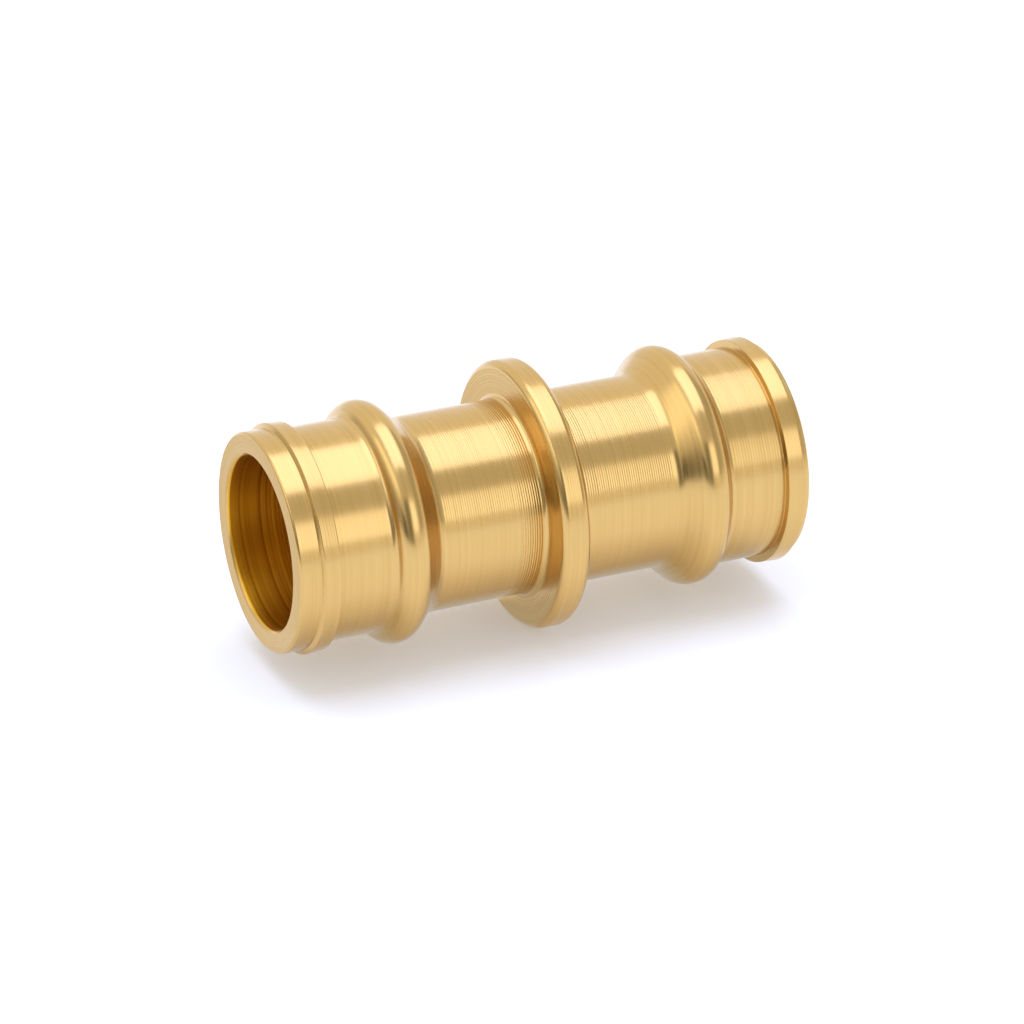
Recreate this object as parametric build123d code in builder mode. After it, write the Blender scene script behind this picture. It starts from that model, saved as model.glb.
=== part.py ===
from build123d import *
import os

# Straight crimp coupling for half-inch PEX tube, turned in one piece from brass bar.
# A spigot stands on each side of a central collar, and a plain bore runs right through.
# Z is the bore's axis. The origin is on that axis, midway between the collar's faces.
# Sizes are in millimetres.

# Bore
bore_diameter = 8.9
bore_edge_break = 0.15

# Collar, which both tubes butt against
collar_diameter = 13.85
collar_width = 1.55
collar_chamfer = 0.27
collar_root_radius = 0.25

# Neck, the plain land between the collar and the rib
neck_diameter = 10.0
neck_length = 5.83

# Rib, a round crown between a long slope towards the collar and a steep one towards the end
rib_diameter = 12.45
rib_width = 2.58
rib_crown_radius = 0.95
rib_crown_offset = 1.6

# Tail, the plain land between the rib and the ridge
tail_diameter = 10.9
tail_length = 3.06

# Ridge, a narrow band that widens a little towards the end and leans back to the nose
ridge_inner_diameter = 11.65
ridge_outer_diameter = 11.75
ridge_width = 0.86
ridge_lead = 0.12

# Nose, which enters the tube first. The lower end carries the long one.
nose_diameter = 11.25
long_nose_length = 1.14
short_nose_length = 0.31
nose_chamfer = 0.1

# Places along the axis, measured from the middle of the collar
collar_face = collar_width / 2
rib_foot = collar_face + neck_length
rib_heel = rib_foot + rib_width
ridge_foot = rib_heel + tail_length
ridge_crest = ridge_foot + ridge_width
nose_root = ridge_crest + ridge_lead

# Top of the rib's crown and the middle of its circle, as a radius and a place along the axis
crown_top = (rib_diameter / 2, rib_foot + rib_crown_offset)
crown_middle = (rib_diameter / 2 - rib_crown_radius, rib_foot + rib_crown_offset)
crown_circle = CenterArc(crown_middle, rib_crown_radius, 0, 360)


def outermost(shapes):
    """Pick the line or point that lies furthest from the bore's axis."""
    return shapes.sort_by(Axis.X)[-1]


with BuildPart() as coupling:
    # One side of the turned body, from the middle of the collar out to the nose's root
    with BuildSketch(Plane.XZ):
        with BuildLine():
            collar_steps = Polyline(
                (0, 0),
                (collar_diameter / 2, 0),
                (collar_diameter / 2, collar_face),
                (neck_diameter / 2, collar_face),
                (neck_diameter / 2, rib_foot),
            )
            end_steps = Polyline(
                (tail_diameter / 2, rib_heel),
                (tail_diameter / 2, ridge_foot),
                (ridge_inner_diameter / 2, ridge_foot),
                (ridge_outer_diameter / 2, ridge_crest),
                (nose_diameter / 2, nose_root),
                (0, nose_root),
            )
            inner_slope = ConstrainedLines(crown_circle, collar_steps @ 1, selector=outermost)
            outer_slope = ConstrainedLines(crown_circle, end_steps @ 0, selector=outermost)
            ThreePointArc(outermost(inner_slope.vertices()), crown_top, outermost(outer_slope.vertices()))
            Line(end_steps @ 1, collar_steps @ 0)
        make_face()
    revolve(axis=Axis.Z)
    mirror(about=Plane.XY)

    # Noses
    with BuildSketch(Plane.XY.offset(-nose_root)):
        Circle(nose_diameter / 2)
    extrude(amount=-long_nose_length)
    with BuildSketch(Plane.XY.offset(nose_root)):
        Circle(nose_diameter / 2)
    extrude(amount=short_nose_length)

    # Collar: chamfered rims, rounded roots
    collar_circles = coupling.edges().filter_by(GeomType.CIRCLE)
    collar_circles = collar_circles.filter_by_position(Axis.Z, -collar_face, collar_face)
    collar_circles = collar_circles.group_by(SortBy.RADIUS)
    chamfer(collar_circles[-1], collar_chamfer)
    fillet(collar_circles[0], collar_root_radius)

    # Ends: chamfered outside, then bored through, with the bore's edges broken
    end_faces = coupling.faces().sort_by(Axis.Z)
    chamfer(end_faces[0].edges() + end_faces[-1].edges(), nose_chamfer)
    Hole(bore_diameter / 2)
    end_faces = coupling.faces().filter_by(GeomType.PLANE).sort_by(Axis.Z)
    bore_mouths = end_faces[0].inner_wires()[0].edges() + end_faces[-1].inner_wires()[0].edges()
    chamfer(bore_mouths, bore_edge_break)

coupling.part.label = "coupling"

os.makedirs("parts", exist_ok=True)
export_step(coupling.part, "parts/coupling.step")
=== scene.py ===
import random
from math import cos, pi, radians, sin, sqrt, tan

import bmesh
import bpy
from mathutils import Matrix, Vector


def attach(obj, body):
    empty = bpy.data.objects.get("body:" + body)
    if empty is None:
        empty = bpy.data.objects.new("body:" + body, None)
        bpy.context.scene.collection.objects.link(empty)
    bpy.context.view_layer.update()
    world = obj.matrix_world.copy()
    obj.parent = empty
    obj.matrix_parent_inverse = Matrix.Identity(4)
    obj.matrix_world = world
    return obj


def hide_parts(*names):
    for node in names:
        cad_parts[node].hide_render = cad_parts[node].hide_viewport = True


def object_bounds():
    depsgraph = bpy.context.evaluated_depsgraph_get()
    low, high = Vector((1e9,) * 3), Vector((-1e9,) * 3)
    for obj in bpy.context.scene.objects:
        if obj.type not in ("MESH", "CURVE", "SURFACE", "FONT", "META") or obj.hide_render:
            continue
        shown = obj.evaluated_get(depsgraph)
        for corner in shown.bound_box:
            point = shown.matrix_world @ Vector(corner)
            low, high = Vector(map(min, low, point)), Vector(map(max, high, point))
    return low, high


# A straight crimp coupling for half-inch PEX tube, turned in one piece from brass bar.
# Z is the bore's axis, and the coupling stands on its long nose. Sizes here are in
# millimetres until a mesh, lamp or camera is placed, which is in metres.

MM = 0.001

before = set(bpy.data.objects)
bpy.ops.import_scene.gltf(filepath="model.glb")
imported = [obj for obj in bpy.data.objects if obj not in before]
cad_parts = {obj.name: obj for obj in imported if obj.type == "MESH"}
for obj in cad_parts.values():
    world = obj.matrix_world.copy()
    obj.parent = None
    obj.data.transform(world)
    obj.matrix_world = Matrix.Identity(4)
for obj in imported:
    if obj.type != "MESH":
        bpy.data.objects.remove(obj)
cad_low, cad_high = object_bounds()
END_LOW = cad_low.z / MM
END_HIGH = cad_high.z / MM
COLLAR_RADIUS = cad_high.x / MM

# Radii of the turned body
BORE = 4.45
NECK = 5.0
TAIL = 5.45
NOSE = 5.625
RIDGE_INNER = 5.825
RIDGE_OUTER = 5.875
RIB = 6.225

# Places along the axis, from the middle of the collar outwards
COLLAR_FACE = 0.775
RIB_FOOT = COLLAR_FACE + 5.83
RIB_HEEL = RIB_FOOT + 2.58
RIDGE_FOOT = RIB_HEEL + 3.06
RIDGE_CREST = RIDGE_FOOT + 0.86
NOSE_ROOT = RIDGE_CREST + 0.12

# Crown of the rib: the radius of its arc and how far its middle lies from the rib's foot
CROWN = 0.95
CROWN_PLACE = RIB_FOOT + 1.6

# Chamfers
COLLAR_CHAMFER = 0.27
NOSE_CHAMFER = 0.1
BORE_CHAMFER = 0.15

# Width of the rounding at each corner: the collar's root and chamfers, both ends of the rib,
# the ridge, the inner corners of the tail and nose, and the end faces
COLLAR_ROOT = 0.25
COLLAR_RIM_ROUNDING = 0.13
COLLAR_FACE_ROUNDING = 0.12
FOOT_ROUNDING = 0.3
HEEL_ROUNDING = 0.18
EDGE_BREAK = 0.035
INNER_BREAK = 0.02
END_BREAK = 0.04

# Turning marks: pitch along the surface and how deep they are cut
COARSE_ZONE = 1.15
COARSE_PITCH = 0.13
COARSE_DEPTH = 0.017
FINE_PITCH = 0.12
FINE_DEPTH = 0.0085
TAIL_PITCH = 0.15
TAIL_DEPTH = 0.0026
FACING_PITCH = 0.16
FACING_DEPTH = 0.008

# A groove's steps as shares of its depth, and the range from which each groove's own share
# is drawn. Edges shorter than SHORTEST_MARKED stay plain.
GROOVE = (0, 0.5, 1, 0.5)
GROOVE_SHARE = (0.55, 1.0)
SHORTEST_MARKED = 0.3
MARK_SEED = 7

# Fineness of the mesh: steps round the axis, along the crown's arc and in each rounding
TURNS = 120
CROWN_STEPS = 14
ROUNDING_STEPS = 3

# How far a place may be off and still count as the same
NEARLY = 0.01
MERGE = 0.0001

# Brass: tones of the turned skin and of the bore, range of roughness of each, and the radii in
# metres between which the bore's look gives way to the turned skin. The bore's higher roughness
# is the drilled surface's own. Its deeper, more saturated amber is painted light and shade: it
# stands in for the darker, warmer look that light takes on as it bounces inside the bore.
BRASS_DARK = (0.635, 0.408, 0.136, 1)
BRASS_PALE = (0.695, 0.458, 0.168, 1)
# Painted shade and tint of the bore, for light that has bounced inside it
BORE_DARK = (0.44, 0.20, 0.006, 1)
BORE_PALE = (0.90, 0.50, 0.035, 1)
BRASS_GLOSS = (0.20, 0.25)
BORE_GLOSS = (0.28, 0.46)
BORE_EDGE = (0.00447, 0.00452)

# Drawn-out shine: its strength, the quarter turn that lays it across the rings, and the
# index of refraction
BRASS_ANISOTROPY = 0.45
SHINE_TURN = 0.25
BRASS_IOR = 1.5

# Fine rings: their scale per metre, how they wander on the way round, how finely the noise is
# broken up, the part of it that is used, and their relief
RING_SCALE = 5600
DRIFT_SCALE = 15
RING_DETAIL = 4.0
RING_RANGE = (0.3, 0.7)
RELIEF_STRENGTH = 0.12
RELIEF_HEIGHT = 0.00001


# ---------------------------------------------------------------- turned body

def crown_corner(foot_radius, foot_place, side):
    """Touching point on the crown's arc of the slope that rises from one foot of the rib."""
    middle = Vector((RIB - CROWN, CROWN_PLACE))
    reach = Vector((foot_radius, foot_place)) - middle
    along = CROWN * CROWN / reach.length
    across = sqrt(CROWN * CROWN - along * along)
    unit = reach.normalized()
    normal = Vector((-unit.y, unit.x))
    return middle + unit * along + normal * across * side


def crown_arc(inner, outer):
    """Corners along the crown's arc, between its touching points with the two slopes."""
    start = Vector((inner.x - (RIB - CROWN), inner.y - CROWN_PLACE))
    end = Vector((outer.x - (RIB - CROWN), outer.y - CROWN_PLACE))
    sweep = start.angle(end)
    corners = []
    for step in range(1, CROWN_STEPS):
        spot = Matrix.Rotation(sweep * step / CROWN_STEPS, 2) @ start
        corners.append((RIB - CROWN + spot.x, CROWN_PLACE + spot.y, 0))
    return corners


def side_outline():
    """Corners of one side, from the collar's rim out to the nose's root.

    Each corner is (radius, place, rounding), where rounding is the bevel's width.
    """
    inner = crown_corner(NECK, RIB_FOOT, 1)
    outer = crown_corner(TAIL, RIB_HEEL, -1)
    corners = [
        (COLLAR_RADIUS, COLLAR_FACE - COLLAR_CHAMFER, COLLAR_RIM_ROUNDING),
        (COLLAR_RADIUS - COLLAR_CHAMFER, COLLAR_FACE, COLLAR_FACE_ROUNDING),
        (NECK, COLLAR_FACE, COLLAR_ROOT),
        (NECK, RIB_FOOT, FOOT_ROUNDING),
        (inner.x, inner.y, 0),
    ]
    corners += crown_arc(inner, outer)
    corners += [
        (outer.x, outer.y, 0),
        (TAIL, RIB_HEEL, HEEL_ROUNDING),
        (TAIL, RIDGE_FOOT, INNER_BREAK),
        (RIDGE_INNER, RIDGE_FOOT, EDGE_BREAK),
        (RIDGE_OUTER, RIDGE_CREST, EDGE_BREAK),
        (NOSE, NOSE_ROOT, INNER_BREAK),
    ]
    return corners


def end_outline(end, sign):
    """Corners of one nose and its half of the bore's mouth, outwards from the nose's root."""
    return [
        (NOSE, end - sign * NOSE_CHAMFER, END_BREAK),
        (NOSE - NOSE_CHAMFER, end, END_BREAK),
        (BORE + BORE_CHAMFER, end, END_BREAK),
        (BORE, end - sign * BORE_CHAMFER, END_BREAK),
    ]


def turned_outline(bm):
    """Lay the whole closed outline of the wall in the XZ plane as a wire of vertices."""
    side = side_outline()
    lower = [(radius, -place, rounding) for radius, place, rounding in side]
    corners = list(reversed(side)) + lower
    corners += end_outline(END_LOW, -1)
    corners += list(reversed(end_outline(END_HIGH, 1)))
    wire = [bm.verts.new((radius, 0, place)) for radius, place, _ in corners]
    for first, second in zip(wire, wire[1:] + wire[:1]):
        bm.edges.new((first, second))
    for vert, (_, _, rounding) in zip(wire, corners):
        if rounding:
            bmesh.ops.bevel(
                bm, geom=[vert], offset=rounding, offset_type="OFFSET", segments=ROUNDING_STEPS,
                profile=0.5, affect="VERTICES", material=-1,
            )


def cut_marks(bm, spans, rng):
    """Cut rounded grooves into the outline. Each span is a Span, a pitch and a depth."""
    for chosen, pitch, depth in spans:
        for edge in [edge for edge in bm.edges if edge.is_valid and chosen(edge)]:
            count = max(1, round(edge.calc_length() / pitch))
            start, end = (vert.co.copy() for vert in edge.verts)
            run = (end - start).normalized()
            outward = Vector((run.z, 0, -run.x))
            if outward.x < 0:  # it points at the axis
                outward = -outward
            cuts = len(GROOVE) * count - 1
            made = bmesh.ops.subdivide_edges(bm, edges=[edge], cuts=cuts)
            points = [item for item in made["geom_inner"] if isinstance(item, bmesh.types.BMVert)]
            points.sort(key=lambda vert: (vert.co - start).length)
            sunk = 0
            for step, vert in enumerate(points, 1):
                if step % len(GROOVE) == 1:
                    sunk = depth * rng.uniform(*GROOVE_SHARE)
                vert.co -= outward * sunk * GROOVE[step % len(GROOVE)]


class Span:
    """Picks the outline's edges that lie on one turned surface."""

    def __init__(self, radius_range, place_range):
        self.radii = radius_range
        self.places = place_range

    def __call__(self, edge):
        if edge.calc_length() < SHORTEST_MARKED:
            return False
        for vert in edge.verts:
            if not self.radii[0] - NEARLY <= vert.co.x <= self.radii[1] + NEARLY:
                return False
            if not self.places[0] - NEARLY <= abs(vert.co.z) <= self.places[1] + NEARLY:
                return False
        return True


def part_necks(bm, coarse_end):
    """Part each neck's edge where the coarse marks beside the collar give way to fine ones."""
    neck = Span((NECK, NECK), (COLLAR_FACE, RIB_FOOT))
    for edge in [edge for edge in bm.edges if neck(edge)]:
        ends = sorted(edge.verts, key=lambda vert: abs(vert.co.z))
        share = (coarse_end - abs(ends[0].co.z)) / edge.calc_length()
        bmesh.utils.edge_split(edge, ends[0], share)


def marked_spans(coarse_end):
    """The turned surfaces, each with the pitch and depth of its marks."""
    return [
        (Span((NECK, NECK), (COLLAR_FACE, coarse_end)), COARSE_PITCH, COARSE_DEPTH),
        (Span((NECK, NECK), (coarse_end, RIB_FOOT)), FINE_PITCH, FINE_DEPTH),
        (Span((TAIL, TAIL), (RIB_HEEL, RIDGE_FOOT)), TAIL_PITCH, TAIL_DEPTH),
        (Span((RIDGE_INNER, RIDGE_OUTER), (RIDGE_FOOT, RIDGE_CREST)), TAIL_PITCH, TAIL_DEPTH),
        (Span((NOSE, NOSE), (NOSE_ROOT, -END_LOW)), TAIL_PITCH, TAIL_DEPTH),
        (Span((COLLAR_RADIUS, COLLAR_RADIUS), (0, COLLAR_FACE)), FINE_PITCH, TAIL_DEPTH),
        (Span((NECK, COLLAR_RADIUS), (COLLAR_FACE, COLLAR_FACE)), FACING_PITCH, FACING_DEPTH),
        (Span((BORE, NOSE), (END_HIGH - NEARLY, -END_LOW)), FACING_PITCH, FACING_DEPTH),
    ]


def make_body():
    """Turn the outline round the Z axis into the brass body."""
    bm = bmesh.new()
    turned_outline(bm)
    coarse_end = COLLAR_FACE + COLLAR_ROOT + COARSE_ZONE
    part_necks(bm, coarse_end)
    cut_marks(bm, marked_spans(coarse_end), random.Random(MARK_SEED))
    bmesh.ops.spin(
        bm, geom=bm.verts[:] + bm.edges[:], cent=(0, 0, 0), axis=(0, 0, 1), dvec=(0, 0, 0),
        angle=2 * pi, steps=TURNS, use_merge=True,
    )
    bmesh.ops.remove_doubles(bm, verts=bm.verts, dist=MERGE)
    bmesh.ops.scale(bm, vec=(MM, MM, MM), verts=bm.verts)
    bmesh.ops.recalc_face_normals(bm, faces=bm.faces)
    for face in bm.faces:
        face.smooth = True
    mesh = bpy.data.meshes.new("turned_body")
    bm.to_mesh(mesh)
    bm.free()
    body = bpy.data.objects.new("turned_body", mesh)
    bpy.context.scene.collection.objects.link(body)
    return body


# ---------------------------------------------------------------- brass

def node(tree, kind, **values):
    """Add a node and set its plain properties."""
    made = tree.nodes.new(kind)
    for name, value in values.items():
        setattr(made, name, value)
    return made


def set_inputs(made, values):
    """Set a node's inputs by name."""
    for name, value in values.items():
        made.inputs[name].default_value = value


def ring_places(tree):
    """Two results: places for marks that run round the axis, and the distance from the axis."""
    place = node(tree, "ShaderNodeTexCoord")
    flat = node(tree, "ShaderNodeVectorMath", operation="MULTIPLY")
    flat.inputs[1].default_value = (1, 1, 0)
    tree.links.new(place.outputs["Object"], flat.inputs[0])
    radius = node(tree, "ShaderNodeVectorMath", operation="LENGTH")
    tree.links.new(flat.outputs["Vector"], radius.inputs[0])
    split = node(tree, "ShaderNodeSeparateXYZ")
    tree.links.new(place.outputs["Object"], split.inputs["Vector"])
    join = node(tree, "ShaderNodeCombineXYZ")
    tree.links.new(radius.outputs["Value"], join.inputs["X"])
    tree.links.new(split.outputs["Z"], join.inputs["Z"])
    rings = node(tree, "ShaderNodeMapping")
    set_inputs(rings, {"Scale": (RING_SCALE, RING_SCALE, RING_SCALE)})
    tree.links.new(join.outputs["Vector"], rings.inputs["Vector"])
    drift = node(tree, "ShaderNodeMapping")
    set_inputs(drift, {"Scale": (DRIFT_SCALE, DRIFT_SCALE, 0)})
    tree.links.new(place.outputs["Object"], drift.inputs["Vector"])
    both = node(tree, "ShaderNodeVectorMath", operation="ADD")
    tree.links.new(rings.outputs["Vector"], both.inputs[0])
    tree.links.new(drift.outputs["Vector"], both.inputs[1])
    return both.outputs["Vector"], radius.outputs["Value"]


def spread(tree, value, source, result):
    """Carry a value from one range to another, held at both ends."""
    made = node(tree, "ShaderNodeMapRange")
    set_inputs(made, {"From Min": source[0], "From Max": source[1]})
    set_inputs(made, {"To Min": result[0], "To Max": result[1]})
    tree.links.new(value, made.inputs["Value"])
    return made.outputs["Result"]


def blend(tree, factor, first, second):
    """Mix two colours."""
    made = node(tree, "ShaderNodeMix", data_type="RGBA")
    tree.links.new(factor, made.inputs["Factor"])
    for socket, colour in (("A", first), ("B", second)):
        place = [item for item in made.inputs if item.name == socket and item.type == "RGBA"][0]
        if isinstance(colour, tuple):
            place.default_value = colour
        else:
            tree.links.new(colour, place)
    return [item for item in made.outputs if item.type == "RGBA"][0]


def brass_colour(tree, mark, outside):
    """Colour of the skin: paler and darker rings, and deeper tones in the bore, which are painted
    shade and tint for light bouncing inside it.
    """
    ringed = spread(tree, mark, RING_RANGE, (0.0, 1.0))
    turned = blend(tree, ringed, BRASS_DARK, BRASS_PALE)
    # Painted shade and tint: the bore's deeper amber stands in for light bounced inside it
    bored = blend(tree, ringed, BORE_DARK, BORE_PALE)
    return blend(tree, outside, bored, turned)


def brass_roughness(tree, mark, outside):
    """Roughness of the skin, which varies from ring to ring and is higher in the bore."""
    made = node(tree, "ShaderNodeMix", data_type="FLOAT")
    tree.links.new(outside, made.inputs["Factor"])
    tree.links.new(spread(tree, mark, RING_RANGE, BORE_GLOSS), made.inputs["A"])
    tree.links.new(spread(tree, mark, RING_RANGE, BRASS_GLOSS), made.inputs["B"])
    return made.outputs["Result"]


def turned_brass():
    """Bare brass as it comes off the lathe: fine rings round the axis, rougher inside the bore."""
    material = bpy.data.materials.new("turned_brass")
    material.use_nodes = True
    tree = material.node_tree
    link = tree.links.new
    shader = tree.nodes["Principled BSDF"]
    set_inputs(shader, {"Metallic": 1.0, "IOR": BRASS_IOR})
    set_inputs(shader, {"Anisotropic": BRASS_ANISOTROPY, "Anisotropic Rotation": SHINE_TURN})
    tangent = node(tree, "ShaderNodeTangent", direction_type="RADIAL", axis="Z")
    link(tangent.outputs["Tangent"], shader.inputs["Tangent"])

    rings, radius = ring_places(tree)
    marks = node(tree, "ShaderNodeTexNoise")
    set_inputs(marks, {"Scale": 1.0, "Detail": RING_DETAIL})
    link(rings, marks.inputs["Vector"])
    mark = marks.outputs["Fac"]
    outside = spread(tree, radius, BORE_EDGE, (0.0, 1.0))
    link(brass_colour(tree, mark, outside), shader.inputs["Base Color"])
    link(brass_roughness(tree, mark, outside), shader.inputs["Roughness"])

    bump = node(tree, "ShaderNodeBump")
    set_inputs(bump, {"Strength": RELIEF_STRENGTH, "Distance": RELIEF_HEIGHT})
    link(mark, bump.inputs["Height"])
    link(bump.outputs["Normal"], shader.inputs["Normal"])
    return material


# ---------------------------------------------------------------- stage

# Where the camera stands, seen from the collar's middle. It looks up at the coupling from
# the long nose's side, turned so that the coupling seems to lie on a table. Lens and sensor
# are in millimetres.
CAMERA_AZIMUTH = radians(17.2)
CAMERA_ELEVATION = radians(-21.5)
CAMERA_ROLL = radians(90 - 10.95)
CAMERA_DISTANCE = 0.2601
CAMERA_SHIFT_RIGHT = 0.000512
CAMERA_SHIFT_UP = 0.000971
CAMERA_LENS = 180.1
SENSOR_WIDTH = 36
CLIP = (0.01, 10)

# Rays that see the white of the studio: the camera's, and those that metal and glass send on
SEEING_RAYS = ["Is Camera Ray", "Is Glossy Ray", "Is Transmission Ray"]

# Floor and table: their size, paint, and how much each glows under its shadows. STAGE_GAP
# keeps sheets that would touch apart.
STAGE_SIZE = 1
STAGE_PAINT = (0.8, 0.8, 0.8, 1)
FLOOR_GLOW = 0.5
TABLE_GLOW = 0.23
STAGE_GAP = 0.00002

# How far the lamps and cards stand from the collar's middle, the slightly cool daylight of the
# lamps, the light of the room, and white
LAMP_FAR = 0.30
CARD_FAR = 0.5
LAMP_TINT = (0.93, 1.0, 1.3)
ROOM_LIGHT = (0.72, 0.76, 0.84, 1)
WHITE = (1, 1, 1, 1)

# Share of Z from which a facing counts as Z itself
UPRIGHT = 0.9

# Grey cards round the coupling: name, lowest and highest turn in degrees from the camera's
# side, span along Z as a share of the distance, and tone
AROUND_CARDS = [
    ("behind_overhead", 44, 94, (-0.56, 0.62), 0.0),
    ("gap_card", 14, 44, (-0.75, 0.62), 0.72),
    ("far_card", 40, 100, (0.62, 2.2), 0.55),
    ("far_front_card", -20, 40, (0.62, 2.2), 0.55),
    ("low_card", -28, 14, (-0.75, -0.18), 0.2),
    ("lower_card", -28, 44, (-1.6, -0.75), 0.8),
]

# Cards past the long nose: name, lowest and highest place above the bore's axis as the table
# has it, span towards the front, all as shares of the distance, and tone
END_CARDS = [
    ("end_card", 0, 0.40, (0.55, 2.0), 0.05),
    ("end_middle_card", 0, 0.40, (-0.05, 0.55), 0.45),
    ("end_back_card", 0, 0.40, (-2.0, -0.05), 0.6),
    ("end_pale_card", 0.66, 1.06, (-0.7, 0.7), 1.8),
]

# Cards flat on the table: name, span towards the front and length in metres, and tone.
# They are painted shade: in the metal's reflections they cover the table with even tones
# darker than its lit white, for the shade behind the coupling and the contact shadow under it.
TABLE_CARDS = [
    ("behind_card", (-0.032, -0.002), 0.080, 0.97),
    ("under_card", (-0.002, 0.0025), 0.026, 0.6),
]


def compass(azimuth, elevation=0.0):
    """Unit vector towards a place that is seen from the coupling at azimuth and elevation."""
    level = cos(elevation)
    return Vector((sin(azimuth) * level, -cos(azimuth) * level, sin(elevation)))


# The way down to the table, and along it to the front
TABLE_AZIMUTH = radians(135)
TABLE_DOWN = compass(TABLE_AZIMUTH)
TABLE_FRONT = compass(TABLE_AZIMUTH - pi / 2)

# Lamps: name, how far they stand up, towards the front and along Z from the collar's middle,
# the way they look, width and height, and brightness. Places and sizes are shares of LAMP_FAR.
LAMPS = [
    ("overhead", (1, -0.145, 0.035), TABLE_DOWN, (0.95, 1.13), 2.2),
    ("front", (0.50, 1, 0.2), -TABLE_FRONT, (0.6, 0.64), 0.8),
]


def around(turn):
    """Unit vector turned round Z from the camera's side towards the top of the view."""
    return compass(CAMERA_AZIMUTH - radians(turn))


def place_camera():
    """Long lens, no depth of field, rolled on to its side."""
    back = compass(CAMERA_AZIMUTH, CAMERA_ELEVATION)
    level = Vector((0, 0, 1)).cross(back).normalized()
    lift = back.cross(level)
    right = level * cos(CAMERA_ROLL) + lift * sin(CAMERA_ROLL)
    up = lift * cos(CAMERA_ROLL) - level * sin(CAMERA_ROLL)
    data = bpy.data.cameras.new("camera")
    data.lens = CAMERA_LENS
    data.sensor_width = SENSOR_WIDTH
    data.clip_start, data.clip_end = CLIP
    camera = bpy.data.objects.new("camera", data)
    spot = back * CAMERA_DISTANCE - right * CAMERA_SHIFT_RIGHT - up * CAMERA_SHIFT_UP
    turn = Matrix((right, up, back)).transposed()
    camera.matrix_world = Matrix.Translation(spot) @ turn.to_4x4()
    bpy.context.scene.collection.objects.link(camera)
    bpy.context.scene.camera = camera


def any_ray(tree, names):
    """Socket that is 1 for each kind of ray named."""
    path = node(tree, "ShaderNodeLightPath")
    total = path.outputs[names[0]]
    for name in names[1:]:
        either = node(tree, "ShaderNodeMath", operation="MAXIMUM")
        tree.links.new(total, either.inputs[0])
        tree.links.new(path.outputs[name], either.inputs[1])
        total = either.outputs["Value"]
    return total


def glow_shader(tree, strength):
    """Plain white glow."""
    shine = node(tree, "ShaderNodeEmission")
    set_inputs(shine, {"Color": WHITE, "Strength": strength})
    return shine.outputs["Emission"]


def mix_shaders(tree, factor, first, second):
    """Shader that is first where factor is 0 and second where it is 1."""
    made = node(tree, "ShaderNodeMixShader")
    tree.links.new(factor, made.inputs["Fac"])
    tree.links.new(first, made.inputs[1])
    tree.links.new(second, made.inputs[2])
    return made.outputs["Shader"]


def empty_material(name):
    """Material with nothing but its output."""
    material = bpy.data.materials.new(name)
    material.use_nodes = True
    material.node_tree.nodes.remove(material.node_tree.nodes["Principled BSDF"])
    return material


def stage_white(name, glow):
    """Matt white that glows a little under its shadows and is clear from behind."""
    material = empty_material(name)
    tree = material.node_tree
    matt = node(tree, "ShaderNodeBsdfDiffuse")
    set_inputs(matt, {"Color": STAGE_PAINT})
    both = node(tree, "ShaderNodeAddShader")
    tree.links.new(matt.outputs["BSDF"], both.inputs[0])
    tree.links.new(glow_shader(tree, glow), both.inputs[1])
    white = any_ray(tree, SEEING_RAYS)
    seen = mix_shaders(tree, white, matt.outputs["BSDF"], both.outputs["Shader"])
    clear = node(tree, "ShaderNodeBsdfTransparent")
    behind = node(tree, "ShaderNodeNewGeometry").outputs["Backfacing"]
    shown = mix_shaders(tree, behind, seen, clear.outputs["BSDF"])
    tree.links.new(shown, tree.nodes["Material Output"].inputs["Surface"])
    return material


def card_grey(name, tone):
    """Material of a card that glows so that it looks as bright as tone, 1 being white."""
    material = empty_material(name)
    tree = material.node_tree
    tree.links.new(glow_shader(tree, tone), tree.nodes["Material Output"].inputs["Surface"])
    return material


def facing_turn(middle, facing):
    """Placing of something flat: it looks along facing, with its own Y as near to Z as may be.

    Where facing is Z itself, its Y runs up from the table.
    """
    back = facing.normalized()
    near = Vector((0, 0, 1)) if abs(back.z) < UPRIGHT else -TABLE_DOWN
    level = near.cross(back).normalized()
    lift = back.cross(level)
    turn = Matrix((level, lift, back)).transposed()
    return Matrix.Translation(middle) @ turn.to_4x4()


def stage_sheet(name, middle, facing, width, height, material):
    """A flat sheet of the studio that looks along facing. Its height is its own Y."""
    bm = bmesh.new()
    bmesh.ops.create_grid(bm, x_segments=1, y_segments=1, size=0.5)
    bmesh.ops.scale(bm, vec=(width, height, 1), verts=bm.verts)
    bmesh.ops.transform(bm, matrix=facing_turn(middle, facing), verts=bm.verts)
    mesh = bpy.data.meshes.new(name)
    bm.to_mesh(mesh)
    bm.free()
    mesh.materials.append(material)
    sheet = bpy.data.objects.new(name, mesh)
    bpy.context.scene.collection.objects.link(sheet)
    return sheet


def card(name, middle, facing, width, height, tone):
    """A card of one even tone that only the metal's reflections see."""
    sheet = stage_sheet(name, middle, facing, width, height, card_grey(name, tone))
    sheet.visible_camera = False
    sheet.visible_diffuse = False
    sheet.visible_shadow = False


def around_card(name, low, high, reach, tone):
    """A card round the coupling, of a row in AROUND_CARDS."""
    toward = around((low + high) / 2)
    middle = toward * CARD_FAR + Vector((0, 0, (reach[0] + reach[1]) / 2 * CARD_FAR))
    width = 2 * CARD_FAR * tan(radians((high - low) / 2))
    card(name, middle, -toward, width, (reach[1] - reach[0]) * CARD_FAR, tone)


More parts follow.
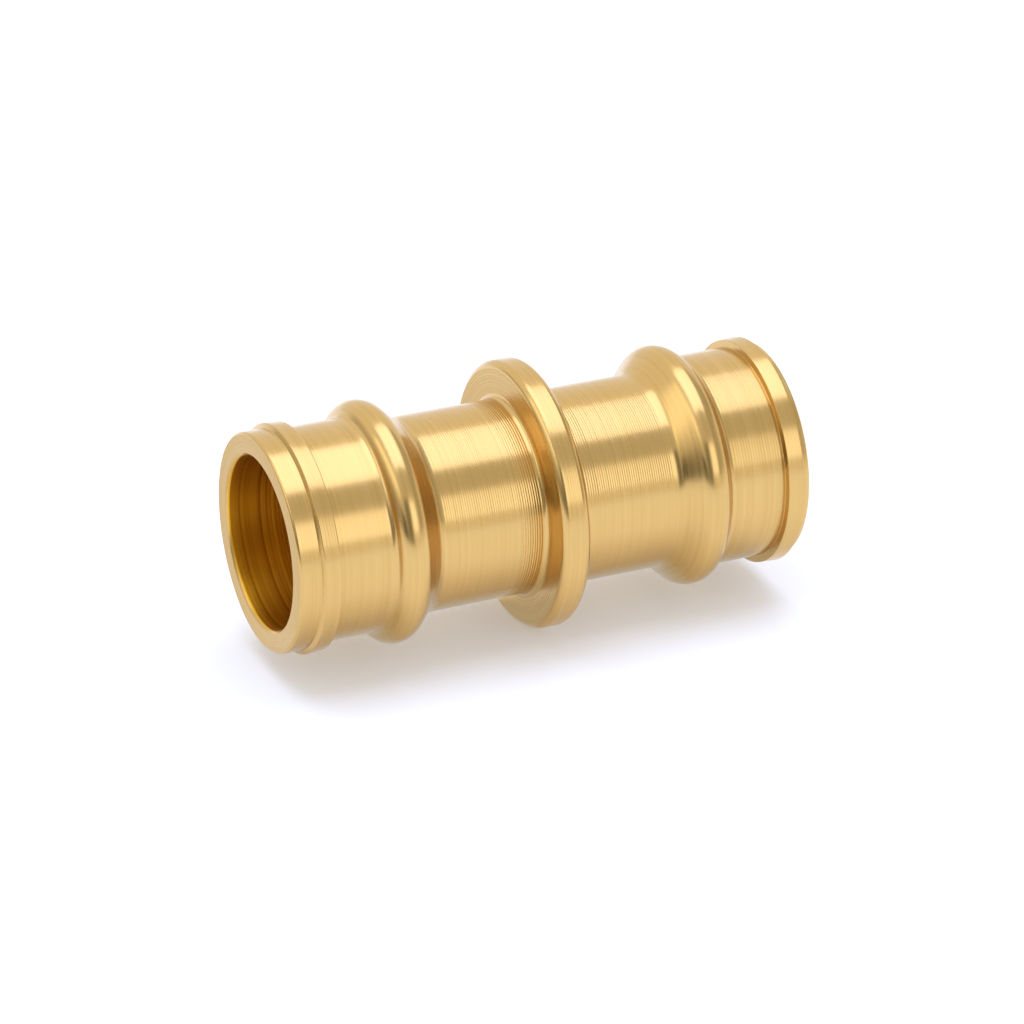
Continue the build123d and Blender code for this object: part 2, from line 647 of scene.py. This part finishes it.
def end_card(name, low, high, near, tone):
    """A card past the long nose, of a row in END_CARDS."""
    middle = Vector((0, 0, -CARD_FAR)) - TABLE_DOWN * (low + high) / 2 * CARD_FAR
    middle += TABLE_FRONT * (near[0] + near[1]) / 2 * CARD_FAR
    width = (near[1] - near[0]) * CARD_FAR
    card(name, middle, Vector((0, 0, 1)), width, (high - low) * CARD_FAR, tone)


def table_card(name, near, length, tone):
    """A card flat on the table, of a row in TABLE_CARDS. It is painted shade on the table, which
    only the metal's reflections see.
    """
    middle = TABLE_DOWN * (cad_high.x - STAGE_GAP) + TABLE_FRONT * (near[0] + near[1]) / 2
    card(name, middle, -TABLE_DOWN, near[1] - near[0], length, tone)


def softbox(name, place, facing, size, radiance):
    """A soft lamp of a row in LAMPS. Its face looks as bright as radiance, 1 being white."""
    up, front, along = place
    middle = (TABLE_FRONT * front - TABLE_DOWN * up + Vector((0, 0, along))) * LAMP_FAR
    width, height = size[0] * LAMP_FAR, size[1] * LAMP_FAR
    data = bpy.data.lights.new(name, "AREA")
    data.shape = "RECTANGLE"
    data.size = width
    data.size_y = height
    data.energy = radiance * pi * width * height
    data.color = LAMP_TINT
    lamp = bpy.data.objects.new(name, data)
    lamp.matrix_world = facing_turn(middle, -facing)
    lamp.visible_camera = False
    bpy.context.scene.collection.objects.link(lamp)


def light_studio():
    """A softbox over the table, a panel at its front, and the cards between and beyond them."""
    for row in LAMPS:
        softbox(*row)
    for row in AROUND_CARDS:
        around_card(*row)
    for row in END_CARDS:
        end_card(*row)
    for row in TABLE_CARDS:
        table_card(*row)


def build_room():
    """World that lights the matt surfaces as a pale room and looks plain white otherwise."""
    world = bpy.data.worlds.new("studio")
    bpy.context.scene.world = world
    world.use_nodes = True
    tree = world.node_tree
    room = tree.nodes["Background"]
    set_inputs(room, {"Color": ROOM_LIGHT})
    white = node(tree, "ShaderNodeBackground")
    set_inputs(white, {"Color": WHITE})
    either = any_ray(tree, SEEING_RAYS)
    seen = mix_shaders(tree, either, room.outputs["Background"], white.outputs["Background"])
    tree.links.new(seen, tree.nodes["World Output"].inputs["Surface"])


def build_stage():
    """A floor under the standing coupling, and the table that the camera sees it lie on."""
    low = Vector((0, 0, cad_low.z - STAGE_GAP))
    paint = stage_white("floor_white", FLOOR_GLOW)
    floor = stage_sheet("floor", low, Vector((0, 0, 1)), STAGE_SIZE, STAGE_SIZE, paint)
    floor.visible_glossy = False
    floor.visible_diffuse = False
    floor.visible_shadow = False
    paint = stage_white("table_white", TABLE_GLOW)
    middle = TABLE_DOWN * cad_high.x
    stage_sheet("table", middle, -TABLE_DOWN, STAGE_SIZE, STAGE_SIZE, paint)


# ---------------------------------------------------------------- scene

scene = bpy.context.scene
scene.view_settings.view_transform = "Standard"

body = make_body()
body.data.materials.append(turned_brass())
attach(body, "root")
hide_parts("coupling")

build_stage()
light_studio()
build_room()
place_camera()
